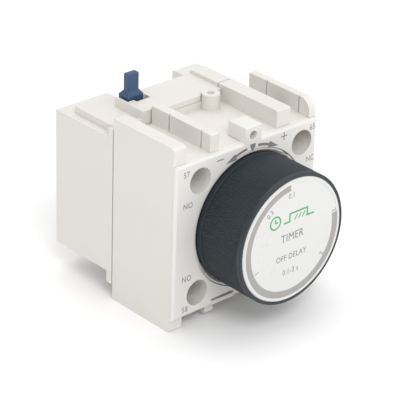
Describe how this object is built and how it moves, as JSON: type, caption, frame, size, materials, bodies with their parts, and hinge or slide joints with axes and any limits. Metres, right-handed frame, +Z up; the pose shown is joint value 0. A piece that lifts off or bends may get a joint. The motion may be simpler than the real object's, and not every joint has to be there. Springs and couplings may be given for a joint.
{
  "type": "clip-on pneumatic timer contact block",
  "caption": "Clip-on off-delay timer block with a rotary dial, screw terminals, a make and a break contact, an air timing mechanism and a sprung latch.",
  "frame": {"origin": "middle of the rear edge that seats on the contactor; z = 0 is the dial axis height, x = 0 the middle of the width", "axes": "+X right seen from the front, +Y from the front face to the rear, +Z up"},
  "size_m": [0.044, 0.057, 0.052],
  "materials": {
    "housing": "fine-textured warm white moulded polyamide",
    "cover": "satin warm white moulded polycarbonate",
    "bezel": "satin pale warm grey ring",
    "dial": "fine-textured dark blue-grey moulding",
    "dial_face": "smooth satin white disc",
    "brass": "turned and stamped brass",
    "steel": "bright spring steel",
    "zinc_screw": "zinc-plated steel",
    "inner_plastic": "dark grey glass-filled moulding",
    "lever_plastic": "mid grey acetal",
    "base": "matte warm white moulding",
    "felt": "pressed grey felt",
    "rubber": "black moulded rubber",
    "copper": "stamped copper alloy",
    "silver": "silver alloy contact",
    "latch_blue": "satin dark blue moulding"
  },
  "bodies": {
    "housing": {"front_housing": "housing", "front_cover": "cover", "bezel_ring": "bezel", "valve_plate": "inner_plastic", "air_filter": "felt", "bellows": "rubber", "timer_frame": "inner_plastic", "timing_spring": "steel", "terminal_57": "brass", "terminal_58": "brass", "terminal_65": "brass", "terminal_66": "brass", "fixed_contact_tips": "silver", "rear_housing": "housing", "base_plate": "base", "housing_screws": "zinc_screw", "lever_pin": "steel", "slide_springs": "steel", "latch_spring": "steel"},
    "dial": {"knob": "dial", "dial_plate": "dial_face", "spindle": "brass", "spindle_clip": "steel", "metering_disc": "inner_plastic"},
    "plunger": {"plunger": "inner_plastic", "plunger_nut": "brass", "bellows_plate": "steel", "contact_carrier": "inner_plastic", "make_spring": "steel", "break_spring": "steel"},
    "make_contact": {"make_bridge": "copper", "make_bridge_tips": "silver"},
    "break_contact": {"break_bridge": "copper", "break_bridge_tips": "silver"},
    "slide": {"actuator_slide": "lever_plastic"},
    "lever": {"trip_lever": "lever_plastic"},
    "latch": {"latch": "latch_blue"},
    "clamp_57": {"clamp_57": "zinc_screw"},
    "screw_57": {"screw_57": "zinc_screw"},
    "clamp_58": {"clamp_58": "zinc_screw"},
    "screw_58": {"screw_58": "zinc_screw"},
    "clamp_65": {"clamp_65": "zinc_screw"},
    "screw_65": {"screw_65": "zinc_screw"},
    "clamp_66": {"clamp_66": "zinc_screw"},
    "screw_66": {"screw_66": "zinc_screw"}
  },
  "joints": [
    {"name": "dial_turn", "type": "hinge", "parent": "housing", "child": "dial", "pos_m": [0.0013, -0.0428, 0], "axis": [0, 1, 0], "range_deg": [0, 300]},
    {"name": "slide_travel", "type": "slide", "parent": "housing", "child": "slide", "axis": [0, 1, 0], "range_m": [0, 0.004], "stiffness_N_per_m": 150, "springref_m": -0.004, "deforming": ["slide_springs"]},
    {"name": "plunger_travel", "type": "slide", "parent": "housing", "child": "plunger", "axis": [0, -1, 0], "range_m": [0, 0.00278], "stiffness_N_per_m": 100, "springref_m": -0.004, "deforming": ["timing_spring", "bellows"]},
    {"name": "lever_swing", "type": "hinge", "parent": "housing", "child": "lever", "pos_m": [0.00761, -0.0118, -0.008], "axis": [0, 0, -1], "range_deg": [0, 29.47]},
    {"name": "make_wipe", "type": "slide", "parent": "plunger", "child": "make_contact", "axis": [0, 1, 0], "range_m": [0, 0.0006], "stiffness_N_per_m": 400, "springref_m": -0.001, "deforming": ["make_spring"]},
    {"name": "break_wipe", "type": "slide", "parent": "plunger", "child": "break_contact", "axis": [0, -1, 0], "range_m": [0, 0.0006], "stiffness_N_per_m": 400, "springref_m": -0.001, "deforming": ["break_spring"]},
    {"name": "latch_lift", "type": "slide", "parent": "housing", "child": "latch", "axis": [0, 0, 1], "range_m": [0, 0.0024], "stiffness_N_per_m": 200, "springref_m": -0.003, "deforming": ["latch_spring"]},
    {"name": "clamp_57_lift", "type": "slide", "parent": "housing", "child": "clamp_57", "axis": [0, -1, 0], "range_m": [0, 0.0027]},
    {"name": "screw_57_turn", "type": "hinge", "parent": "clamp_57", "child": "screw_57", "pos_m": [-0.0145, -0.0294, 0.0144], "axis": [0, -1, 0], "range_deg": [0, 1620.5]},
    {"name": "clamp_58_lift", "type": "slide", "parent": "housing", "child": "clamp_58", "axis": [0, -1, 0], "range_m": [0, 0.0027]},
    {"name": "screw_58_turn", "type": "hinge", "parent": "clamp_58", "child": "screw_58", "pos_m": [-0.0145, -0.0294, -0.0144], "axis": [0, -1, 0], "range_deg": [0, 1620.5]},
    {"name": "clamp_65_lift", "type": "slide", "parent": "housing", "child": "clamp_65", "axis": [0, -1, 0], "range_m": [0, 0.0027]},
    {"name": "screw_65_turn", "type": "hinge", "parent": "clamp_65", "child": "screw_65", "pos_m": [0.0171, -0.0294, 0.0144], "axis": [0, -1, 0], "range_deg": [0, 1620.5]},
    {"name": "clamp_66_lift", "type": "slide", "parent": "housing", "child": "clamp_66", "axis": [0, -1, 0], "range_m": [0, 0.0027]},
    {"name": "screw_66_turn", "type": "hinge", "parent": "clamp_66", "child": "screw_66", "pos_m": [0.0171, -0.0294, -0.0144], "axis": [0, -1, 0], "range_deg": [0, 1620.5]}
  ],
  "couplings": [
    {"joint": "plunger_travel", "follows": "slide_travel", "ratio": 0.69491},
    {"joint": "lever_swing", "follows": "slide_travel", "rad_per_m": 128.48},
    {"joint": "screw_57_turn", "follows": "clamp_57_lift", "rad_per_m": 10472},
    {"joint": "screw_58_turn", "follows": "clamp_58_lift", "rad_per_m": 10472},
    {"joint": "screw_65_turn", "follows": "clamp_65_lift", "rad_per_m": 10472},
    {"joint": "screw_66_turn", "follows": "clamp_66_lift", "rad_per_m": 10472}
  ]
}
